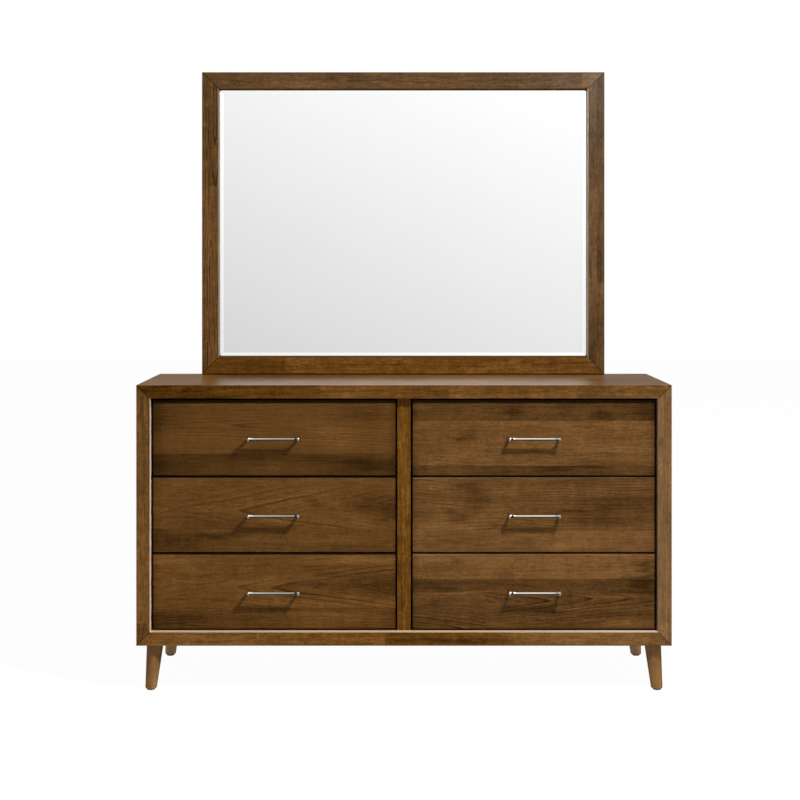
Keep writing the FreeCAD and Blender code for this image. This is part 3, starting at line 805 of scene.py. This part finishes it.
def shaped_pull(place_name):
    """The bar with its flared, rounded ends, on two posts that end in a small foot ring."""
    low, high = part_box("pull_" + place_name)
    centre = (low + high) / 2
    centre.y = low.y + PULL_END
    made = bmesh.new()
    half = pull_profile()
    whole = [(-reach, radius) for reach, radius in reversed(half[1:])] + half[1:]
    lathe(made, whole, centre, Matrix.Identity(3))
    length = high.y - centre.y
    post = [(0.0, PULL_POST)] + [(length - end, PULL_POST * share) for end, share in PULL_FOOT]
    for side in (-1, 1):
        top = centre + Vector((side * PULL_POST_PLACE, 0, 0))
        lathe(made, post, top, Matrix.Rotation(math.pi / 2, 3, "Z"), 20)
    piece = add_piece("shaped_pull_" + place_name, made, nickel, "drawer_" + place_name)
    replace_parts(piece, "pull_" + place_name)


TRIM_THICKNESS = 0.0008
TRIM_SETBACK = 0.0009


def opening_trim():
    """A mitred strip up both sides and along the foot of the case's opening, from just behind
    its front to the drawer fronts' faces."""
    half = CASE_HALF - PANEL
    low, high = CASE_BOTTOM + PANEL, CASE_TOP - PANEL
    made = bmesh.new()
    rings = []
    for inset in (0.0, TRIM_THICKNESS):
        for y in (CASE_FRONT + TRIM_SETBACK, STILE_FRONT):
            side, foot = half - inset, low + inset
            corners = ((-side, high), (-side, foot), (side, foot), (side, high))
            rings.append([made.verts.new((x, y, z)) for x, z in corners])
    outer_front, outer_rear, inner_front, inner_rear = rings
    belts = (outer_front, inner_front, inner_rear, outer_rear)
    for a, b in zip(belts, belts[1:] + belts[:1]):
        for here in range(3):
            made.faces.new((a[here], a[here + 1], b[here + 1], b[here]))
    for end in (0, 3):
        made.faces.new([ring[end] for ring in belts])
    # The trim's right side is darker as painted shade; its foot brightens to the right as painted light
    material = champagne_trim("opening_trim", (214, 190, 164), (242, 220, 198), (165, 138, 110),
                              ((212, 186, 154), (222, 205, 188)))
    add_piece("opening_trim", made, material, "case")


SILVER_INSET = 0.001
SILVER_BACK = (0.00012, 0.00004)


def mirror_silver():
    """The silver coat on the back of the glass."""
    low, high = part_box("mirror_glass")
    front, rear = [high.y - depth for depth in SILVER_BACK]
    box = ((low.x + SILVER_INSET, front, low.z + SILVER_INSET),
           (high.x - SILVER_INSET, rear, high.z - SILVER_INSET))
    add_boxes("mirror_silver", [box], silvering("mirror_silver"))


SLIP_SIDE = 0.0018
SLIP_TOP = 0.0022
SLIP_FOOT = 0.0044
SLIP_SETBACK = 0.001
FOOT_STRIP_INSET = 0.0015


def mirror_slips():
    """Thin strips that line the frame's inner edge from its face to the glass: pale metal at the
    sides, dark stained timber above and below, and a near-black strip under the frame's foot as painted
    shadow."""
    half = MIRROR_HALF - MIRROR_FACE
    low, high = mirror_foot + MIRROR_FACE, MIRROR_TOP - MIRROR_FACE
    front, rear = mirror_low.y + SLIP_SETBACK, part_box("mirror_glass")[0].y
    inner = half - SLIP_SIDE
    sides = [((near, front, low), (far, rear, high)) for near, far in ((-half, -inner), (inner, half))]
    levels = [((-inner, front, near), (inner, rear, far))
              for near, far in ((low, low + SLIP_FOOT), (high - SLIP_TOP, high))]
    foot = ((-MIRROR_HALF + FOOT_STRIP_INSET, mirror_low.y + SLIP_SETBACK, CASE_TOP),
            (MIRROR_HALF - FOOT_STRIP_INSET, CASE_BACK - SLIP_SETBACK, mirror_foot))
    # The right side slip is paler and greyer: painted light
    pale = champagne_trim("slip_trim", (113, 87, 63), (133, 106, 81), (138, 118, 101))
    dark = plain_timber("slip_timber", "x", 15.0, 0.45, CHESTNUT, 0.04, 0.8, ior=1.02)
    # The foot strip is near-black: painted shadow in the gap under the mirror's foot
    darkest = plain_timber("foot_strip_timber", "x", 16.0, 0.5, MAHOGANY, 0.04, 0.8, ior=1.02)
    add_boxes("mirror_side_slips", sides, pale)
    add_boxes("mirror_level_slips", levels, dark)
    add_boxes("mirror_foot_strip", [foot], darkest)


# Screw heads, as shares of the radius and the height: the cross recess and how it narrows, the head
CROSS = (0.62, 0.17)
CROSS_FLOOR = (0.8, 0.35)
PAN_HEAD = ((1.0, 0.0), (1.0, 0.45), (0.93, 0.8), (0.78, 1.0))
HEAD_SIDES = 24
QUARTER = HEAD_SIDES // 4


def circle(made, centre, radius, start=0.0):
    """A ring of points in an upright plane that faces the rear."""
    x, y, z = centre
    angles = [start + 2 * math.pi * side / HEAD_SIDES for side in range(HEAD_SIDES)]
    return [made.verts.new((x + radius * math.cos(angle), y, z + radius * math.sin(angle)))
            for angle in angles]


def cross(made, centre, arm, half):
    """A ring of twelve points round a cross."""
    x, y, z = centre
    return [made.verts.new((x + u * cos - v * sin, y, z + u * sin + v * cos))
            for cos, sin in ((1, 0), (0, 1), (-1, 0), (0, -1))
            for u, v in ((arm, -half), (arm, half), (half, half))]


def screw_head(made, centre, radius, height):
    """A pan head with a cross recess, on the surface that centre is on, pointing to the rear."""
    x, y, z = centre
    rings = [circle(made, (x, y + height * lift, z), radius * share) for share, lift in PAN_HEAD]
    for low, high in zip(rings, rings[1:]):
        band(made, low, high)
    made.faces.new(rings[0])
    arm, half = [part * radius for part in CROSS]
    share, lift = CROSS_FLOOR
    rim, mouth = rings[-1], cross(made, (x, y + height, z), arm, half)
    floor = cross(made, (x, y + height * lift, z), arm * share, half * share)
    for turn in range(4):
        first = turn * QUARTER
        low_corner, high_corner, inner = mouth[3 * turn:3 * turn + 3]
        next_low = mouth[(3 * turn + 3) % 12]
        made.faces.new((rim[first - 1], rim[first], rim[first + 1], high_corner, low_corner))
        arc = [rim[(first + step) % HEAD_SIDES] for step in range(1, QUARTER)]
        made.faces.new(arc + [next_low, inner, high_corner])
    band(made, mouth, floor)
    made.faces.new(floor)


# Each kind's radius and height
CASE_SCREW = (0.004, 0.0018)
CLIP_SCREW = (0.0034, 0.0015)
PULL_SCREW = (0.005, 0.002)
screw_steel = metal("screw_steel", ((120, 116, 104), (168, 162, 146)), 0.32)


def screws(name, centres, body, kind=CASE_SCREW):
    made = bmesh.new()
    for centre in centres:
        screw_head(made, centre, *kind)
    add_piece(name, made, screw_steel, body)


BACK_MARGIN = 0.01
BACK_COLUMNS = 8
BACK_ROWS = 4


def back_panel_screws():
    """A row round the back panel's edge, and one down the partition behind its middle."""
    low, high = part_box("back_panel")
    left, right = low.x + BACK_MARGIN, high.x - BACK_MARGIN
    foot, top = low.z + BACK_MARGIN, high.z - BACK_MARGIN
    centres = []
    for step in range(BACK_COLUMNS + 1):
        x = left + (right - left) * step / BACK_COLUMNS
        centres += [(x, high.y, foot), (x, high.y, top)]
    for step in range(1, BACK_ROWS):
        z = foot + (top - foot) * step / BACK_ROWS
        centres += [(left, high.y, z), (0.0, high.y, z), (right, high.y, z)]
    screws("back_panel_screws", centres, "case")


CLIP_TOP = CASE_BACK + 0.0012
CLIP_SCREW_IN = 0.006
HALF_CLIP = 0.01
CLIP_LEVEL = 0.5 * MIRROR_HALF


def clip_screws():
    """One in the foot of each clip that holds the mirror's backing."""
    low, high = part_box("mirror_clips")
    side_z = (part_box("mirror_supports")[1].z + MIRROR_TOP) / 2 + HALF_CLIP
    centres = [(side * (high.x - CLIP_SCREW_IN), CLIP_TOP, side_z) for side in (-1, 1)]
    for z in (low.z + CLIP_SCREW_IN, high.z - CLIP_SCREW_IN):
        centres += [(side * CLIP_LEVEL, CLIP_TOP, z) for side in (-1, 1)]
    screws("clip_screws", centres, "case", CLIP_SCREW)


BOX_BOARD = 0.012
FRONT_SCREW_PLACE = 0.21
FRONT_SCREW_LEVELS = (0.045, 0.025)


def drawer_screws(place_name):
    """Inside each drawer: two that hold the pull and four that hold the front."""
    low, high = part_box("drawer_box_" + place_name)
    pull_low, pull_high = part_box("pull_" + place_name)
    x, y, z = (pull_low + pull_high) / 2
    inner = low.y + BOX_BOARD
    pull = [(x + side * PULL_POST_PLACE, inner, z) for side in (-1, 1)]
    up, down = FRONT_SCREW_LEVELS
    front = [(x + side * FRONT_SCREW_PLACE, inner, level)
             for side in (-1, 1) for level in (low.z + up, high.z - down)]
    screws("pull_screws_" + place_name, pull, "drawer_" + place_name, PULL_SCREW)
    screws("front_screws_" + place_name, front, "drawer_" + place_name)


POST_SCREWS = [CASE_TOP + height for height in (-0.19, -0.11, -0.02, 0.015, 0.04)]
POST_WIDTH = 0.045
POST_CHAMFER = 0.002
SINK_RADIUS = 0.0052
SINK_FLOOR = 0.9
SINK_DEPTH = 0.0006
SINK_REACH = SINK_RADIUS * 1.6
POST_SCREW = (SINK_RADIUS * 0.86, SINK_DEPTH)


def countersink(made, corners, centre):
    """A shallow round recess, its rim joined to the four corners of the face round it."""
    x, y, z = centre
    start = math.pi / HEAD_SIDES - math.pi / 4
    rim = circle(made, centre, SINK_RADIUS, start)
    floor = circle(made, (x, y - SINK_DEPTH, z), SINK_RADIUS * SINK_FLOOR, start)
    for turn in range(4):
        arc = [rim[(turn * QUARTER + step) % HEAD_SIDES] for step in range(QUARTER + 1)]
        made.faces.new([corners[turn], corners[(turn + 1) % 4]] + arc[::-1])
    band(made, rim, floor)
    made.faces.new(floor)


def mirror_post(made, left, low, high):
    """One post, its rear edges chamfered, with a countersink at each screw."""
    right = left + POST_WIDTH
    levels = [low.z + POST_CHAMFER]
    for height in POST_SCREWS:
        levels += [height - SINK_REACH, height + SINK_REACH]
    levels.append(high.z - POST_CHAMFER)
    across = (left + POST_CHAMFER, right - POST_CHAMFER)
    lines = [[made.verts.new((x, high.y, z)) for x in across] for z in levels]
    for index, (lower, upper) in enumerate(zip(lines, lines[1:])):
        if index % 2 == 0:
            made.faces.new((lower[0], lower[1], upper[1], upper[0]))
        else:
            centre = ((left + right) / 2, high.y, POST_SCREWS[index // 2])
            countersink(made, (lower[1], upper[1], upper[0], lower[0]), centre)
    corners = [(left, low.z), (left, high.z), (right, high.z), (right, low.z)]
    belt, front = [[made.verts.new((x, y, z)) for x, z in corners]
                   for y in (high.y - POST_CHAMFER, low.y)]
    up, down = [line[0] for line in lines], [line[1] for line in reversed(lines)]
    made.faces.new([belt[0]] + up + [belt[1]])
    made.faces.new((belt[1], up[-1], down[0], belt[2]))
    made.faces.new([belt[2]] + down + [belt[3]])
    made.faces.new((belt[3], down[-1], up[0], belt[0]))
    band(made, belt, front)
    made.faces.new(front)


def mirror_posts():
    """The two posts behind the case and the mirror, with their screws."""
    low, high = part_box("mirror_supports")
    made = bmesh.new()
    centres = []
    for left in (low.x, high.x - POST_WIDTH):
        mirror_post(made, left, low, high)
        centres += [(left + POST_WIDTH / 2, high.y - SINK_DEPTH, height) for height in POST_SCREWS]
    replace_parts(add_piece("mirror_posts", made, post_timber, "case"), "mirror_supports")
    screws("post_screws", centres, "case", POST_SCREW)


opening_trim()
mirror_silver()
mirror_slips()
mirror_posts()
back_panel_screws()
clip_screws()
for name in PLACES:
    shaped_pull(name)
    drawer_screws(name)


# Floor, world, lights and camera
def ray_kinds(build):
    """1 for rays of the camera, through glass, off shiny surfaces only and off dull ones."""
    kinds = build.node("LightPath").outputs
    camera, glass, dull = [kinds[f"Is {kind} Ray"] for kind in ("Camera", "Transmission", "Diffuse")]
    return camera, glass, build.math("GREATER_THAN", kinds["Is Glossy Ray"], glass), dull


def make_floor():
    """A pale floor that goes out to white, and keeps the shadow under the object."""
    mesh = bpy.data.meshes.new("floor")
    corners = [(FLOOR_REACH * x, FLOOR_REACH * y, 0) for x, y in ((-1, -1), (1, -1), (1, 1), (-1, 1))]
    mesh.from_pydata(corners, [], [(0, 1, 2, 3)])
    floor = new_object("floor", mesh)
    material, build = new_material("pale_floor")
    camera, glass, shiny = ray_kinds(build)[:3]
    shown = build.total(build.layers((camera, 0.93), (glass, 0.97)), shiny)
    diffuse = build.node("BsdfDiffuse", {"Color": (0.86, 0.86, 0.86, 1)})
    glow = build.total(1.0, build.layers((camera, 0.045), (glass, 0.1), (shiny, -0.95)))
    white = build.node("Emission", {"Color": (1, 1, 1, 1), "Strength": glow})
    mixed = build.node("MixShader", {0: shown, 1: diffuse.outputs[0], 2: white.outputs[0]})
    build.node("OutputMaterial", {"Surface": mixed.outputs[0]})
    mesh.materials.append(material)
    return floor


def make_world():
    """White to the eye. Glass sees a pale studio, brightest to the upper right of the camera's
    side. Metal sees a window in front, softboxes overhead and to the sides and dark between.
    The rest is even soft light."""
    world = bpy.data.worlds.new("studio")
    bpy.context.scene.world = world
    world.use_nodes = True
    world.node_tree.nodes.clear()
    build = Builder(world.node_tree)
    x, y, z = build.split(build.node("TexCoord").outputs["Generated"])[:3]
    aside = build.absolute(x)
    sweep = build.total(build.layers((x, 0.63), (z, 1.4)), 0.87)
    sweep = build.math("MAXIMUM", build.math("MINIMUM", sweep, 1.12), 0.55)
    room = build.blend(build.smooth(aside, 0.25, 0.5), sweep, 0.93)
    behind = build.smooth(y, -0.3, 0.3)

    overhead = build.smooth(z, 0.1, 0.18)
    dark_aside = build.times(build.smooth(aside, 0.42, 0.48), build.smooth(aside, 0.88, 0.8))
    softbox = build.times(build.smooth(x, -0.14, 0.1, 0.42, 1.15),
                          build.scaled(dark_aside, -0.96, 1.0))
    window = build.times(build.math("MINIMUM", sweep, 1.0), build.smooth(aside, 0.48, 0.42))
    window = build.total(window, build.smooth(aside, 0.8, 0.88, 0.02, 0.85))
    for_metal = build.blend(behind, build.blend(overhead, window, softbox), 0.22)
    for_glass = build.scaled(build.blend(behind, room, 0.8), 1.14)
    camera, glass, shiny, dull = ray_kinds(build)
    strength = build.total(camera, build.times(shiny, for_metal), build.times(glass, for_glass),
                           build.scaled(dull, AMBIENT))
    sky = build.node("Background", {"Color": (1, 1, 1, 1), "Strength": strength})
    build.node("OutputWorld", {"Surface": sky.outputs[0]})


def link_light(held, kind, pieces, state):
    """Sets which pieces a lamp lights ("receiver") or is shaded by ("blocker")."""
    linked = bpy.data.collections.new(held.name + "_" + kind)
    setattr(held.light_linking, kind + "_collection", linked)
    for piece in pieces:
        linked.objects.link(piece)
    for entry in linked.collection_objects:
        entry.light_linking.link_state = state


def add_lamp(name, place, target, size, power, glossy=True, even=False):
    """An area lamp. An even one lights near and far alike."""
    lamp = bpy.data.lights.new(name, "AREA")
    lamp.shape = "RECTANGLE"
    lamp.size, lamp.size_y = size
    lamp.energy = power
    held = new_object(name, lamp)
    held.location = place
    held.rotation_euler = (Vector(target) - Vector(place)).to_track_quat("-Z", "Y").to_euler()
    held.visible_glossy = held.visible_transmission = glossy
    held.visible_camera = False
    if even:
        lamp.use_nodes = True
        build = Builder(lamp.node_tree)
        falloff = build.node("LightFalloff", {"Strength": 1.0})
        build.feed(lamp.node_tree.nodes["Emission"].inputs["Strength"], falloff.outputs["Constant"])
    return held


def make_camera():
    camera = bpy.data.cameras.new("camera")
    camera.lens = CAMERA_LENS
    camera.sensor_width = SENSOR_WIDTH
    camera.sensor_fit = "HORIZONTAL"
    camera.shift_x, camera.shift_y = CAMERA_SHIFT
    held = new_object("camera", camera)
    held.location = CAMERA_PLACE
    held.rotation_euler = (math.pi / 2, 0, 0)
    bpy.context.scene.camera = held


floor = make_floor()
make_world()
top_fronts = [nodes["drawer_front_" + column + "_top"] for column in COLUMNS]
key = add_lamp("key", *KEY, even=True)
link_light(key, "receiver", top_fronts, "EXCLUDE")
under_key = add_lamp("under_key", *KEY, even=True)
link_light(under_key, "receiver", top_fronts, "INCLUDE")
link_light(under_key, "blocker", [nodes["top_panel"]], "EXCLUDE")
add_lamp("overhead", *OVERHEAD)
add_lamp("fill", *FILL, glossy=False)
for name, look in REAR_LAMPS.items():
    link_light(add_lamp(name, *look, glossy=False), "receiver", [floor], "EXCLUDE")
low_fill = add_lamp("low_fill", *LOW_FILL, glossy=False)
link_light(low_fill, "receiver", [nodes["rear_legs"], nodes["foot_glides"]], "INCLUDE")
make_camera()
bpy.context.scene.view_settings.view_transform = "Standard"
